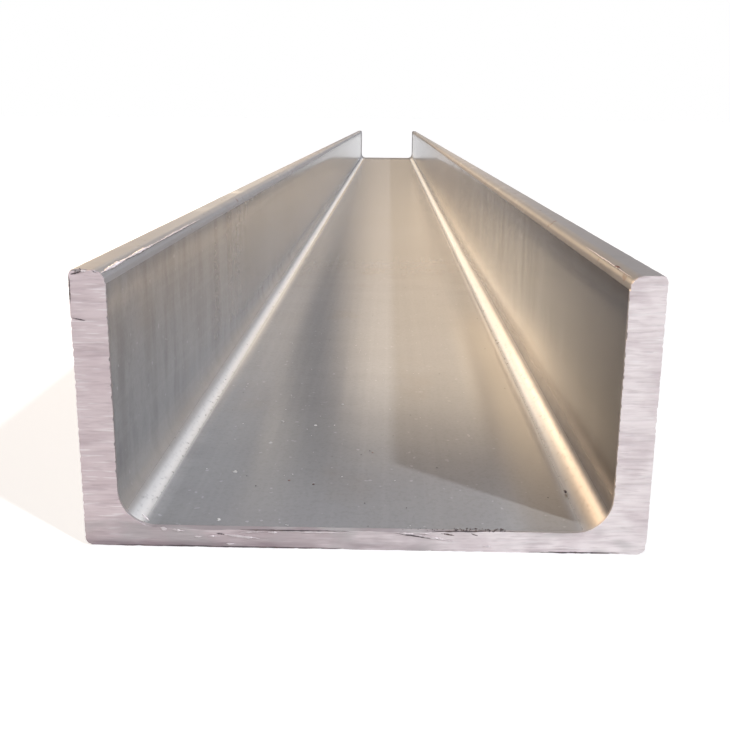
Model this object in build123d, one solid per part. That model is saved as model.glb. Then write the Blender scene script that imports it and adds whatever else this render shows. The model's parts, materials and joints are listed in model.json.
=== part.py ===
"""Hot rolled steel channel with parallel flanges, cut to length with a saw.

The beam lies on its web with both flanges up. The origin is the middle of the web's back face.
X runs across the web, Y runs along the beam and Z points up. All sizes are in millimetres.
"""

from build123d import *
import os

# Driving sizes of the beam
LENGTH = 2400.0  # from one sawn end to the other
DEPTH = 150.0  # across the web, over the outer faces of both flanges
FLANGE_WIDTH = 75.0  # from the back of the web to the tips of the flanges

# Driving sizes of the rolled section
WEB_THICKNESS = 6.0
FLANGE_THICKNESS = 9.5
ROOT_RADIUS = 10.0  # fillet in the trough, where a flange grows out of the web
TOE_INNER_RADIUS = 3.5  # soft corner of a flange's tip, towards the trough
TOE_OUTER_RADIUS = 1.2  # tighter corner of a flange's tip, on the outside
HEEL_RADIUS = 2.5  # outer corner below each flange, where it turns into the web's back


def half_section() -> Sketch:
    """The section's half at +X, from the middle of the web to the outer face of one flange."""
    outer = DEPTH / 2
    inner = outer - FLANGE_THICKNESS
    corners = [
        ((outer, 0), HEEL_RADIUS),
        ((outer, FLANGE_WIDTH), TOE_OUTER_RADIUS),
        ((inner, FLANGE_WIDTH), TOE_INNER_RADIUS),
        ((inner, WEB_THICKNESS), ROOT_RADIUS),
    ]
    with BuildSketch(Plane.XZ) as half:
        with BuildLine():
            FilletPolyline(
                (0, 0),
                *[point for point, radius in corners],
                (0, WEB_THICKNESS),
                radius=[radius for point, radius in corners],
            )
            Line((0, WEB_THICKNESS), (0, 0))
        make_face()
    return half.sketch


def channel_beam() -> Part:
    """The whole section, both halves fused into one face, run through the beam's length."""
    with BuildPart() as beam:
        with BuildSketch(Plane.XZ):
            add(half_section())
            mirror(about=Plane.YZ)
        extrude(amount=LENGTH / 2, both=True)
    return beam.part


os.makedirs("parts", exist_ok=True)
export_step(channel_beam(), "parts/channel_beam.step")
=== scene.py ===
"""Looks of a hot rolled steel channel beam that lies on its web on a pale studio floor.

The beam's visible skin is three pieces that meet flush: the rolled length, and the last millimetre or
so at each sawn end. Torn slivers, scale, pale flecks and rust lie on it, and dark strings along the
near end's lower edge stand in as painted shade. Geometry Nodes make or shape every piece. Sizes are
in metres, apart from those that a class gives in millimetres.
"""

import json
import logging
import math
import random
from dataclasses import dataclass, field
from enum import Enum
from typing import Any

import bmesh
import bpy
import numpy as np
from mathutils import Matrix, Vector


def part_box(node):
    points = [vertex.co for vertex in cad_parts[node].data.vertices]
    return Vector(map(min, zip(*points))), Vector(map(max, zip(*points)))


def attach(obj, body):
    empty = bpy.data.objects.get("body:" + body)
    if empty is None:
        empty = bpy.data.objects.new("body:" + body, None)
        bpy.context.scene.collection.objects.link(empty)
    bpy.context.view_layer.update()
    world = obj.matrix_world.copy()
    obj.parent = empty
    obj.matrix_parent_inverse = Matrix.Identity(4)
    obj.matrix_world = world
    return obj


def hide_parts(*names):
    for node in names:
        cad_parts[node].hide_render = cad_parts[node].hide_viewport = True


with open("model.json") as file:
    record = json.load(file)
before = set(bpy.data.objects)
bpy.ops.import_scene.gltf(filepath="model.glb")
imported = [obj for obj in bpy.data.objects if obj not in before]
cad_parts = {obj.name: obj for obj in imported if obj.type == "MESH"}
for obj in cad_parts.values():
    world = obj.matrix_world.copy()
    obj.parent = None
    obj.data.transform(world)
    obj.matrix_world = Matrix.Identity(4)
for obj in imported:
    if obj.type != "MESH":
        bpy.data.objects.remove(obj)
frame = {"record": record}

MM = 0.001
SAME_PLACE = 0.001 * MM  # points closer than this lie on one plane
LARGE_CREASE = math.radians(32)  # edges of the beam that fold by more than this stay sharp
SMALL_CREASE = math.radians(60)  # the same for slivers and grains
LOG = logging.getLogger("channel_beam")
BEAM_NODE = "channel_beam"
BODY = "root"
# The kind of input that takes each type of value
SOCKET_KINDS = {
    float: "NodeSocketFloat",
    int: "NodeSocketInt",
    bpy.types.Material: "NodeSocketMaterial",
}


class Slot(Enum):
    """Material slots of the record, passed to some pieces' build but not read."""

    ROLLED = "rolled_steel"
    SAWN = "sawn_steel"


class End(Enum):
    """The two ends of the beam, each with the sign of its side along Y."""

    NEAR = -1
    FAR = 1


def linear(hex_colour: str) -> tuple[float, float, float, float]:
    """Turns an sRGB hex colour into linear RGBA.

    Args:
        hex_colour: six hex digits with a leading hash sign.

    Returns:
        The colour's linear red, green and blue, and an alpha of 1.
    """
    parts = [int(hex_colour[i : i + 2], 16) / 255 for i in (1, 3, 5)]
    return (*[c / 12.92 if c <= 0.04045 else ((c + 0.055) / 1.055) ** 2.4 for c in parts], 1.0)


WHITE = linear("#FFFFFF")


def add_node(
    tree: bpy.types.NodeTree,
    kind: str,
    settings: dict[str, Any] | None = None,
    inputs: dict[str | int, Any] | None = None,
) -> bpy.types.Node:
    """Adds one node with its settings and its inputs.

    Args:
        tree: the shader, world or geometry tree that gets the node.
        kind: Blender's name of the node's type.
        settings: the node's own properties by name.
        inputs: values, or nodes or sockets to link from, by the input's name or place. A node gives
            its first output.

    Returns:
        The new node.
    """
    node = tree.nodes.new(kind)
    for name, value in (settings or {}).items():
        setattr(node, name, value)
    for name, value in (inputs or {}).items():
        if isinstance(value, bpy.types.Node):
            tree.links.new(value.outputs[0], node.inputs[name])
        elif isinstance(value, bpy.types.NodeSocket):
            tree.links.new(value, node.inputs[name])
        else:
            node.inputs[name].default_value = value
    return node


def new_piece(name: str, mesh: bpy.types.Mesh) -> bpy.types.Object:
    """Puts a mesh in the scene as an object at the origin.

    Args:
        name: the object's name.
        mesh: its mesh, with its place in its vertices.

    Returns:
        The linked object.
    """
    piece = bpy.data.objects.new(name, mesh)
    bpy.context.scene.collection.objects.link(piece)
    return piece


def start_tree(name: str, values: dict[str, Any]) -> bpy.types.NodeTree:
    """Starts a geometry tree with a Geometry input and output, and a named input for each value.

    Args:
        name: the tree's name.
        values: a number or a material for each further input, by the input's name.

    Returns:
        The new tree.
    """
    tree = bpy.data.node_groups.new(name, "GeometryNodeTree")
    tree.interface.new_socket("Geometry", in_out="INPUT", socket_type="NodeSocketGeometry")
    for key, value in values.items():
        tree.interface.new_socket(key, in_out="INPUT", socket_type=SOCKET_KINDS[type(value)])
    tree.interface.new_socket("Geometry", in_out="OUTPUT", socket_type="NodeSocketGeometry")
    return tree


def settle_nodes(piece: bpy.types.Object, tree: bpy.types.NodeTree, values: dict[str, Any]) -> None:
    """Runs a Geometry Nodes tree on a piece and keeps the result as its plain mesh.

    Args:
        piece: the object that the tree works on.
        tree: the tree, whose inputs have names.
        values: the inputs to set, by name.
    """
    modifier = piece.modifiers.new(tree.name, "NODES")
    modifier.node_group = tree
    named = {
        item.name: item.identifier
        for item in tree.interface.items_tree
        if item.item_type == "SOCKET" and item.in_out == "INPUT"
    }
    for name, value in values.items():
        modifier[named[name]] = value
    piece.update_tag()
    bpy.context.view_layer.update()
    graph = bpy.context.evaluated_depsgraph_get()
    mesh = bpy.data.meshes.new_from_object(
        piece.evaluated_get(graph), preserve_all_data_layers=True, depsgraph=graph
    )
    piece.modifiers.remove(modifier)
    piece.data = mesh


def finish_mesh(mesh: bpy.types.Mesh, crease: float) -> None:
    """Turns all faces outwards, and shades them smooth up to a crease angle.

    Args:
        mesh: the closed mesh to finish.
        crease: edges that fold by more than this stay sharp.
    """
    bm = bmesh.new()
    bm.from_mesh(mesh)
    bmesh.ops.recalc_face_normals(bm, faces=bm.faces)
    for face in bm.faces:
        face.smooth = True
    for edge in bm.edges:
        edge.smooth = len(edge.link_faces) == 2 and edge.calc_face_angle(0.0) < crease
    bm.to_mesh(mesh)
    bm.free()


def make_piece(
    name: str,
    start: bpy.types.Mesh,
    tree: bpy.types.NodeTree,
    values: dict[str, Any],
    crease: float = LARGE_CREASE,
) -> bpy.types.Object:
    """Makes a piece of the beam from a start mesh and a Geometry Nodes tree.

    Args:
        name: the piece's name.
        start: the mesh that the tree works on.
        tree: the tree, whose inputs have names.
        values: the inputs to set, by name.
        crease: edges that fold by more than this stay sharp.

    Returns:
        The finished piece.
    """
    piece = new_piece(name, start)
    settle_nodes(piece, tree, values)
    finish_mesh(piece.data, crease)
    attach(piece, BODY)
    return piece


@dataclass(frozen=True)
class Corner:
    """One rounded corner of the section. toe and fillet say which kind of corner it is."""

    x: float
    z: float
    radius: float
    toe: float = 0.0
    fillet: float = 0.0

    @property
    def place(self) -> Vector:
        """Where the two faces would meet if the corner were sharp."""
        return Vector((self.x, self.z))


@dataclass(frozen=True)
class PaintedHighlightBand:
    """The band of a root fillet that is painted bright as a highlight, in degrees from the flange."""

    middle: float
    reach: float  # half its width
    fade: float  # the part of the reach over which it fades out

    def share(self, turn: float) -> float:
        """How much of the painted highlight the fillet has at an angle, from 0 to 1."""
        return min(1.0, max(0.0, (self.reach - abs(turn - self.middle)) / self.fade))


@dataclass(frozen=True)
class OutlinePoint:
    """One point of the section's outline.

    normal points out of the steel. toe is 1 on a flange's tip, and fillet is 1 on the band of a root
    fillet that is painted bright as a highlight.
    """

    place: Vector
    normal: Vector
    toe: float = 0.0
    fillet: float = 0.0


@dataclass(frozen=True)
class RolledSection:
    """The channel's section in the XZ plane, with the web's back on Z 0."""

    depth: float
    flange_width: float
    web: float
    length: float
    flange: float = 9.5 * MM
    root_radius: float = 10 * MM
    toe_inner_radius: float = 3.5 * MM
    toe_outer_radius: float = 1.2 * MM
    heel_radius: float = 2.5 * MM
    # The bands of the root fillets that are painted bright as highlights
    left_highlight_band: PaintedHighlightBand = PaintedHighlightBand(middle=57.0, reach=18.0, fade=12.0)
    right_highlight_band: PaintedHighlightBand = PaintedHighlightBand(middle=53.0, reach=27.0, fade=17.0)
    fillet_steps: int = 18
    corner_steps: int = 7
    flat_step: float = 9 * MM
    guard: float = 0.5 * MM  # from an arc's end to the next point, so that flats look flat

    @classmethod
    def from_frame(cls) -> "RolledSection":
        """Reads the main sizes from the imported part: its box, and the web's face from its mount."""
        low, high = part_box(BEAM_NODE)
        mounts = {mount["name"]: mount for mount in frame["record"]["mounts"]}
        return cls(
            depth=high.x - low.x,
            flange_width=high.z - low.z,
            web=mounts["web_inside"]["pos_m"][2],
            length=high.y - low.y,
        )

    @property
    def flange_inside(self) -> float:
        """X of the right flange's inner face."""
        return self.depth / 2 - self.flange

    def corners(self) -> list[Corner]:
        """The eight corners, counterclockwise from the right heel."""
        outer, inner, top = self.depth / 2, self.flange_inside, self.flange_width
        right = [
            Corner(outer, 0.0, self.heel_radius),
            Corner(outer, top, self.toe_outer_radius, toe=1.0),
            Corner(inner, top, self.toe_inner_radius, toe=1.0),
            Corner(inner, self.web, self.root_radius, fillet=1.0),
        ]
        left = [Corner(-c.x, c.z, c.radius, c.toe, c.fillet) for c in reversed(right)]
        return right + left

    def outline(self) -> list[OutlinePoint]:
        """The closed outline, counterclockwise, as points with their normals."""
        corners = self.corners()
        points: list[OutlinePoint] = []
        for i, corner in enumerate(corners):
            after = corners[(i + 1) % len(corners)]
            back = (corners[i - 1].place - corner.place).normalized()
            ahead = (after.place - corner.place).normalized()
            centre = corner.place + (back + ahead) * corner.radius
            outwards = -1 if corner.fillet else 1
            steps = self.fillet_steps if corner.fillet else self.corner_steps
            for step in range(steps + 1):
                turn = step / steps * math.pi / 2
                way = -ahead * math.cos(turn) - back * math.sin(turn)
                place = centre + way * corner.radius
                # Each point's share of its root's painted highlight
                highlight_band = self.right_highlight_band if corner.x > 0 else self.left_highlight_band
                highlighted = corner.fillet * highlight_band.share(math.degrees(math.acos(min(1.0, abs(way.x)))))
                points.append(OutlinePoint(place, way * outwards, corner.toe, highlighted))
            start = corner.place + ahead * corner.radius
            run = (after.place - corner.place).length - corner.radius - after.radius
            face = Vector((ahead.y, -ahead.x))
            for distance in self.flat_places(run):
                points.append(OutlinePoint(start + ahead * distance, face, corner.toe * after.toe))
        return points

    def flat_places(self, run: float) -> list[float]:
        """Distances of the points along a flat run, with one close to each end."""
        if run < 6 * self.guard:
            return [run / 3, run * 2 / 3]
        parts = max(1, round((run - 2 * self.guard) / self.flat_step))
        return list(np.linspace(self.guard, run - self.guard, parts + 1))


INSIDE_THE_FACE = OutlinePoint(Vector((0, 0)), Vector((0, 0)))  # for points off the outline: no normal


def nearest_on(points: list[OutlinePoint], x: float, z: float) -> OutlinePoint:
    """What a closed outline is like at the place on it that lies nearest to a point.

    Args:
        points: the outline.
        x: the point's X.
        z: the point's Z.

    Returns:
        The outline there, with its normal and values blended between its two points.
    """
    here = Vector((x, z))
    best, least = points[0], math.inf
    for first, second in zip(points, points[1:] + points[:1]):
        run = second.place - first.place
        share = min(1.0, max(0.0, (here - first.place).dot(run) / run.length_squared))
        place = first.place + run * share
        gap = (here - place).length_squared
        if gap < least:
            least = gap
            best = OutlinePoint(
                place,
                (first.normal * (1 - share) + second.normal * share).normalized(),
                first.toe * (1 - share) + second.toe * share,
                first.fillet * (1 - share) + second.fillet * share,
            )
    return best


def store(mesh: bpy.types.Mesh, name: str, rows: Any) -> None:
    """Stores a number or a vector for each vertex, for the node trees and the finishes to read.

    Args:
        mesh: the mesh.
        name: the attribute's name.
        rows: one number or one vector for each vertex.
    """
    values = np.array(rows, np.float32)
    kind, key = ("FLOAT_VECTOR", "vector") if values.ndim == 2 else ("FLOAT", "value")
    mesh.attributes.new(name, kind, "POINT").data.foreach_set(key, values.ravel())


@dataclass
class MillSurface:
    """The slight unevenness of a rolled surface, as a node group that the beam's pieces share.

    Every point moves a little into the steel, never out of it: long low waves from the straightening
    rolls on all faces, and a ragged line along the tips of the flanges.
    """

    wave_height: float = 0.12 * MM
    wave_size: float = 45 * MM
    ragged_height: float = 0.35 * MM
    ragged_size: float = 5 * MM
    seed: float = 3.0
    group: bpy.types.NodeTree = field(init=False)

    @property
    def sizes(self) -> dict[str, float]:
        """The group's inputs by name."""
        return {
            "Wave Height": self.wave_height,
            "Wave Size": self.wave_size,
            "Ragged Height": self.ragged_height,
            "Ragged Size": self.ragged_size,
            "Seed": self.seed,
        }

    def __post_init__(self) -> None:
        """Builds the group, which reads the inward direction and the toe value from the mesh."""
        tree = start_tree("mill_surface", self.sizes)
        given = add_node(tree, "NodeGroupInput").outputs
        place = add_node(tree, "GeometryNodeInputPosition")
        inward = add_node(
            tree, "GeometryNodeInputNamedAttribute", {"data_type": "FLOAT_VECTOR"}, {"Name": "inward"}
        )
        toe = add_node(tree, "GeometryNodeInputNamedAttribute", inputs={"Name": "toe"})
        heights = []
        for size, height, detail in (
            ("Wave Size", "Wave Height", 1.0),
            ("Ragged Size", "Ragged Height", 3.0),
        ):
            scale = add_node(tree, "ShaderNodeMath", {"operation": "DIVIDE"}, {0: 1.0, 1: given[size]})
            noise = add_node(
                tree,
                "ShaderNodeTexNoise",
                {"noise_dimensions": "4D"},
                {"Vector": place, "W": given["Seed"], "Scale": scale, "Detail": detail},
            )
            heights.append(
                add_node(tree, "ShaderNodeMath", {"operation": "MULTIPLY"}, {0: noise, 1: given[height]})
            )
        ragged = add_node(tree, "ShaderNodeMath", {"operation": "MULTIPLY"}, {0: heights[1], 1: toe})
        total = add_node(tree, "ShaderNodeMath", {"operation": "ADD"}, {0: heights[0], 1: ragged})
        offset = add_node(
            tree, "ShaderNodeVectorMath", {"operation": "SCALE"}, {0: inward, "Scale": total}
        )
        moved = add_node(
            tree, "GeometryNodeSetPosition", inputs={"Geometry": given["Geometry"], "Offset": offset}
        )
        add_node(tree, "NodeGroupOutput", inputs={0: moved})
        self.group = tree

    def lay_on(self, tree: bpy.types.NodeTree, geometry: bpy.types.Node) -> bpy.types.Node:
        """Adds the group to a tree.

        Args:
            tree: the tree of the piece that gets the surface.
            geometry: the node that gives the piece's mesh.

        Returns:
            The group's node.
        """
        inputs = {"Geometry": geometry, **self.sizes}
        return add_node(tree, "GeometryNodeGroup", {"node_tree": self.group}, inputs)


def close_tree(tree: bpy.types.NodeTree, geometry: bpy.types.Node, material: Any) -> None:
    """Ends a geometry tree with real geometry and its material.

    Args:
        tree: the tree.
        geometry: the node that gives the finished shape.
        material: the socket that gives the material.
    """
    real = add_node(tree, "GeometryNodeRealizeInstances", inputs={0: geometry})
    dressed = add_node(
        tree, "GeometryNodeSetMaterial", inputs={"Geometry": real, "Material": material}
    )
    add_node(tree, "NodeGroupOutput", inputs={0: dressed})


@dataclass
class RolledLength:
    """The rolled length of the beam between its two sawn ends, swept along Y by Geometry Nodes."""

    section: RolledSection
    surface: MillSurface
    end_run: float
    stations: int = 381  # an odd number, so that one lies at mid length
    even_share: float = 0.15  # 0 packs the stations towards the ends, 1 spreads them evenly

    def profile_mesh(self) -> bpy.types.Mesh:
        """The section's outline as a closed loop of edges with its attributes."""
        points = self.section.outline()
        mesh = bpy.data.meshes.new("section_outline")
        loop = [(i, (i + 1) % len(points)) for i in range(len(points))]
        mesh.from_pydata([(p.place.x, 0.0, p.place.y) for p in points], loop, [])
        store(mesh, "section", [(p.place.x, 0.0, p.place.y) for p in points])
        store(mesh, "inward", [(-p.normal.x, 0.0, -p.normal.y) for p in points])
        store(mesh, "toe", [p.toe for p in points])
        store(mesh, "fillet", [p.fillet for p in points])
        steps = [(p.place - points[i - 1].place).length for i, p in enumerate(points)]
        store(mesh, "around", np.cumsum([0.0] + steps[1:]) / sum(steps))
        return mesh

    def unroll(self, mesh: bpy.types.Mesh) -> None:
        """Gives the skin a map that unrolls it without stretch, the near and the far half side by side.

        Args:
            mesh: the swept mesh, with the attribute around that goes from 0 to 1 round the section.
        """
        around = np.empty(len(mesh.vertices), np.float32)
        mesh.attributes["around"].data.foreach_get("value", around)
        reach = self.section.length / 2
        layer = mesh.uv_layers.new(name="OFBake")
        for face in mesh.polygons:
            far = face.center.y > 0
            wraps = np.ptp(around[list(face.vertices)]) > 0.5
            for corner, vert in zip(face.loop_indices, face.vertices):
                share = float(around[vert])
                share += 1.0 if wraps and share < 0.5 else 0.0
                along = abs(mesh.vertices[vert].co.y) / reach
                layer.data[corner].uv = ((share + far) / 2, along)

    def sweep_tree(self, values: dict[str, Any]) -> bpy.types.NodeTree:
        """The tree that sweeps the outline through the stations and lays the mill surface on it.

        Args:
            values: the values of its inputs, by name.

        Returns:
            The tree.
        """
        tree = start_tree("sweep_section", values)
        given = add_node(tree, "NodeGroupInput").outputs
        line = add_node(
            tree, "GeometryNodeCurvePrimitiveLine", inputs={"Start": (0, -1, 0), "End": (0, 1, 0)}
        )
        path = add_node(
            tree,
            "GeometryNodeResampleCurve",
            {"mode": "COUNT"},
            {"Curve": line, "Count": given["Stations"]},
        )
        factor = add_node(tree, "GeometryNodeSplineParameter").outputs["Factor"]
        even = add_node(
            tree,
            "ShaderNodeMapRange",
            inputs={"Value": factor, "To Min": -1.0, "To Max": 1.0},
        )
        half_turn = add_node(
            tree, "ShaderNodeMath", {"operation": "MULTIPLY"}, {0: even, 1: math.pi / 2}
        )
        packed = add_node(tree, "ShaderNodeMath", {"operation": "SINE"}, {0: half_turn})
        share = add_node(
            tree, "ShaderNodeMix", inputs={"Factor": given["Even Share"], "A": packed, "B": even}
        )
        reach = add_node(
            tree,
            "ShaderNodeMath",
            {"operation": "SUBTRACT"},
            {0: given["Half Length"], 1: given["End Run"]},
        )
        station = add_node(tree, "ShaderNodeMath", {"operation": "MULTIPLY"}, {0: share, 1: reach})
        marked = add_node(
            tree,
            "GeometryNodeStoreNamedAttribute",
            {"data_type": "FLOAT", "domain": "POINT"},
            {"Geometry": path, "Name": "station", "Value": station},
        )
        outline = add_node(tree, "GeometryNodeMeshToCurve", inputs={0: given["Geometry"]})
        swept = add_node(
            tree,
            "GeometryNodeCurveToMesh",
            inputs={"Curve": marked, "Profile Curve": outline, "Fill Caps": True},
        )
        in_section = add_node(
            tree, "GeometryNodeInputNamedAttribute", {"data_type": "FLOAT_VECTOR"}, {"Name": "section"}
        )
        at_station = add_node(tree, "GeometryNodeInputNamedAttribute", inputs={"Name": "station"})
        along = add_node(tree, "ShaderNodeCombineXYZ", inputs={"Y": at_station})
        place = add_node(
            tree, "ShaderNodeVectorMath", {"operation": "ADD"}, {0: in_section, 1: along}
        )
        placed = add_node(
            tree, "GeometryNodeSetPosition", inputs={"Geometry": swept, "Position": place}
        )
        close_tree(tree, self.surface.lay_on(tree, placed), given["Material"])
        return tree

    def build(self, finish: bpy.types.Material) -> bpy.types.Object:
        """Makes the piece.

        Args:
            finish: the rolled steel.

        Returns:
            The finished piece, which stands for the CAD beam.
        """
        values = {
            "Half Length": self.section.length / 2,
            "End Run": self.end_run,
            "Stations": self.stations,
            "Even Share": self.even_share,
            "Material": finish,
        }
        outline, sweep = self.profile_mesh(), self.sweep_tree(values)
        piece = make_piece("rolled_length", outline, sweep, values)
        self.unroll(piece.data)
        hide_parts(BEAM_NODE)
        return piece


@dataclass(frozen=True)
class Knock:
    """An edge knocked in: everything within reach of a place moves, most at the place itself."""

    place: tuple[float, float]  # X and Z on the sawn face
    move: tuple[float, float, float]
    reach: tuple[float, float]  # along X and Z


@dataclass
class SawnEnd:
    """One end of the beam: the sawn face with its marks, and the skin just behind it.

    The saw's teeth leave lines across the face, along X and a little out of level. Small chips break
    out of the rim here and there.
    """

    section: RolledSection
    surface: MillSurface
    end: End
    run: float
    set_back: float = 0.3 * MM  # from the beam's end, which only the torn slivers reach
    row: float = 0.25 * MM
    column: float = 1.6 * MM
    rings: tuple[float, ...] = (0.15 * MM, 0.4 * MM, 0.8 * MM)  # loops in the skin, behind the face
    mark_depth: float = 0.3 * MM
    mark_pitch: float = 2.0 * MM
    mark_length: float = 16 * MM
    scratch_pitch: float = 0.7 * MM
    scratch_length: float = 7 * MM
    tilt: float = math.radians(1.5)
    scratch_share: float = 0.4  # of the marks' depth, which the scratches take
    chip_depth: float = 0.5 * MM
    chip_pitch: float = 1.3 * MM
    knocks: tuple[Knock, ...] = ()
    seed: float = 10.0

    @property
    def plane(self) -> float:
        """Y of the sawn face."""
        return self.end.value * (self.section.length / 2 - self.set_back)

    def cut_mesh(self) -> bpy.types.Mesh:
        """The face in fine rows and columns, and the skin behind it, as a closed mesh."""
        outline = self.section.outline()
        bm = bmesh.new()
        bm.faces.new([bm.verts.new((p.place.x, self.plane, p.place.y)) for p in outline])
        half, top = self.section.depth / 2, self.section.flange_width
        cuts = [((0, 0, z), (0, 0, 1)) for z in np.arange(self.row, top, self.row)]
        cuts += [((x, 0, 0), (1, 0, 0)) for x in np.arange(self.column - half, half, self.column)]
        for place, normal in cuts:
            everything = bm.verts[:] + bm.edges[:] + bm.faces[:]
            bmesh.ops.bisect_plane(bm, geom=everything, plane_co=place, plane_no=normal)
        rim = {vert for edge in bm.edges if edge.is_boundary for vert in edge.verts}
        edges = [edge for edge in bm.edges if edge.is_boundary]
        for ring in (*self.rings, self.run - self.set_back):
            made = bmesh.ops.extrude_edge_only(bm, edges=edges)["geom"]
            verts = {item for item in made if isinstance(item, bmesh.types.BMVert)}
            for vert in verts:
                vert.co.y = self.plane - self.end.value * ring
            edges = [
                item
                for item in made
                if isinstance(item, bmesh.types.BMEdge) and verts.issuperset(item.verts)
            ]
        bmesh.ops.holes_fill(bm, edges=edges, sides=0)
        bm.verts.index_update()
        rim_places = {vert.index for vert in rim}
        mesh = bpy.data.meshes.new(f"{self.end.name.lower()}_cut")
        bm.to_mesh(mesh)
        bm.free()
        self.mark_points(mesh, outline, rim_places)
        return mesh

    def mark_points(self, mesh: bpy.types.Mesh, outline: list[OutlinePoint], rim: set[int]) -> None:
        """Stores what each point belongs to, and moves the points of the knocked edges.

        Args:
            mesh: the cut mesh.
            outline: the section's outline.
            rim: the vertices on the rim of the sawn face.
        """
        marks: dict[str, list[Any]] = {
            name: [] for name in ("inward", "toe", "fillet", "cut", "edge", "rolled")
        }
        for vert in mesh.vertices:
            back = abs(vert.co.y - self.plane)
            on_face = back < SAME_PLACE
            skin = not on_face or vert.index in rim
            near = nearest_on(outline, vert.co.x, vert.co.z) if skin else INSIDE_THE_FACE
            fade = max(0.0, 1.0 - back / self.rings[-1])
            inward = (-near.normal.x, 0.0, -near.normal.y)
            values = (inward, near.toe, near.fillet, float(on_face), fade * skin, float(not on_face))
            for rows, value in zip(marks.values(), values):
                rows.append(value)
            for knock in self.knocks:
                across = (vert.co.x - knock.place[0]) / knock.reach[0]
                upwards = (vert.co.z - knock.place[1]) / knock.reach[1]
                share = max(0.0, 1.0 - math.hypot(across, upwards)) * fade
                vert.co += Vector(knock.move) * share
        for name, rows in marks.items():
            store(mesh, name, rows)

    def mark_tree(self, values: dict[str, Any]) -> bpy.types.NodeTree:
        """The tree that presses the saw's marks into the face and chips its rim.

        Args:
            values: the values of its inputs, by name.

        Returns:
            The tree.
        """
        tree = start_tree("saw_marks", values)
        given = add_node(tree, "NodeGroupInput").outputs
        position = add_node(tree, "GeometryNodeInputPosition")
        turned = add_node(
            tree,
            "ShaderNodeVectorRotate",
            {"rotation_type": "Y_AXIS"},
            {"Vector": position, "Angle": given["Tilt"]},
        )
        noises = {}
        for kind, length, pitch, low, high in (
            ("mark", "Mark Length", "Mark Pitch", 0.52, 0.74),
            ("scratch", "Scratch Length", "Scratch Pitch", 0.45, 0.72),
            ("chip", "Chip Pitch", "Chip Pitch", 0.5, 0.8),
        ):
            size = add_node(
                tree, "ShaderNodeCombineXYZ", inputs={"X": given[length], "Y": 1.0, "Z": given[pitch]}
            )
            spread = add_node(
                tree, "ShaderNodeVectorMath", {"operation": "DIVIDE"}, {0: turned, 1: size}
            )
            noise = add_node(
                tree,
                "ShaderNodeTexNoise",
                {"noise_dimensions": "4D"},
                {"Vector": spread, "W": given["Seed"], "Scale": 1.0, "Detail": 2.0},
            )
            noises[kind] = add_node(
                tree, "ShaderNodeMapRange", inputs={"Value": noise, "From Min": low, "From Max": high}
            )
        groove = add_node(
            tree,
            "ShaderNodeMix",
            inputs={"Factor": given["Scratch Share"], "A": noises["mark"], "B": noises["scratch"]},
        )
        marked = add_node(
            tree,
            "GeometryNodeStoreNamedAttribute",
            {"data_type": "FLOAT", "domain": "POINT"},
            {"Geometry": given["Geometry"], "Name": "groove", "Value": groove},
        )
        cut = add_node(tree, "GeometryNodeInputNamedAttribute", inputs={"Name": "cut"})
        edge = add_node(tree, "GeometryNodeInputNamedAttribute", inputs={"Name": "edge"})
        inward = add_node(
            tree, "GeometryNodeInputNamedAttribute", {"data_type": "FLOAT_VECTOR"}, {"Name": "inward"}
        )
        depth = add_node(
            tree, "ShaderNodeMath", {"operation": "MULTIPLY"}, {0: groove, 1: given["Mark Depth"]}
        )
        on_face = add_node(tree, "ShaderNodeMath", {"operation": "MULTIPLY"}, {0: depth, 1: cut})
        towards = add_node(
            tree, "ShaderNodeMath", {"operation": "MULTIPLY"}, {0: given["Side"], 1: -1.0}
        )
        pressed = add_node(
            tree, "ShaderNodeMath", {"operation": "MULTIPLY"}, {0: on_face, 1: towards}
        )
        pressing = add_node(tree, "ShaderNodeCombineXYZ", inputs={"Y": pressed})
        chip = add_node(
            tree, "ShaderNodeMath", {"operation": "MULTIPLY"}, {0: noises["chip"], 1: edge}
        )
        chipped = add_node(
            tree, "ShaderNodeMath", {"operation": "MULTIPLY"}, {0: chip, 1: given["Chip Depth"]}
        )
        chipping = add_node(
            tree, "ShaderNodeVectorMath", {"operation": "SCALE"}, {0: inward, "Scale": chipped}
        )
        offset = add_node(
            tree, "ShaderNodeVectorMath", {"operation": "ADD"}, {0: pressing, 1: chipping}
        )
        moved = add_node(tree, "GeometryNodeSetPosition", inputs={"Geometry": marked, "Offset": offset})
        close_tree(tree, self.surface.lay_on(tree, moved), given["Material"])
        return tree

    def build(self, finish: bpy.types.Material) -> bpy.types.Object:
        """Makes the piece.

        Args:
            finish: the sawn steel.

        Returns:
            The finished piece.
        """
        values = {
            "Mark Depth": self.mark_depth,
            "Mark Pitch": self.mark_pitch,
            "Mark Length": self.mark_length,
            "Scratch Pitch": self.scratch_pitch,
            "Scratch Length": self.scratch_length,
            "Scratch Share": self.scratch_share,
            "Tilt": self.tilt,
            "Chip Depth": self.chip_depth,
            "Chip Pitch": self.chip_pitch,
            "Side": float(self.end.value),
            "Seed": self.seed + self.end.value,
            "Material": finish,
        }
        name = f"{self.end.name.lower()}_sawn_end"
        return make_piece(name, self.cut_mesh(), self.mark_tree(values), values)


@dataclass(frozen=True)
class Sliver:
    """A thin raised string between two points, thickest in its middle, in millimetres.

    The points are given as X, the distance from the near end, and Z.
    """

    start: tuple[float, float, float]
    end: tuple[float, float, float]
    girth: float  # its radius in the middle


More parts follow.
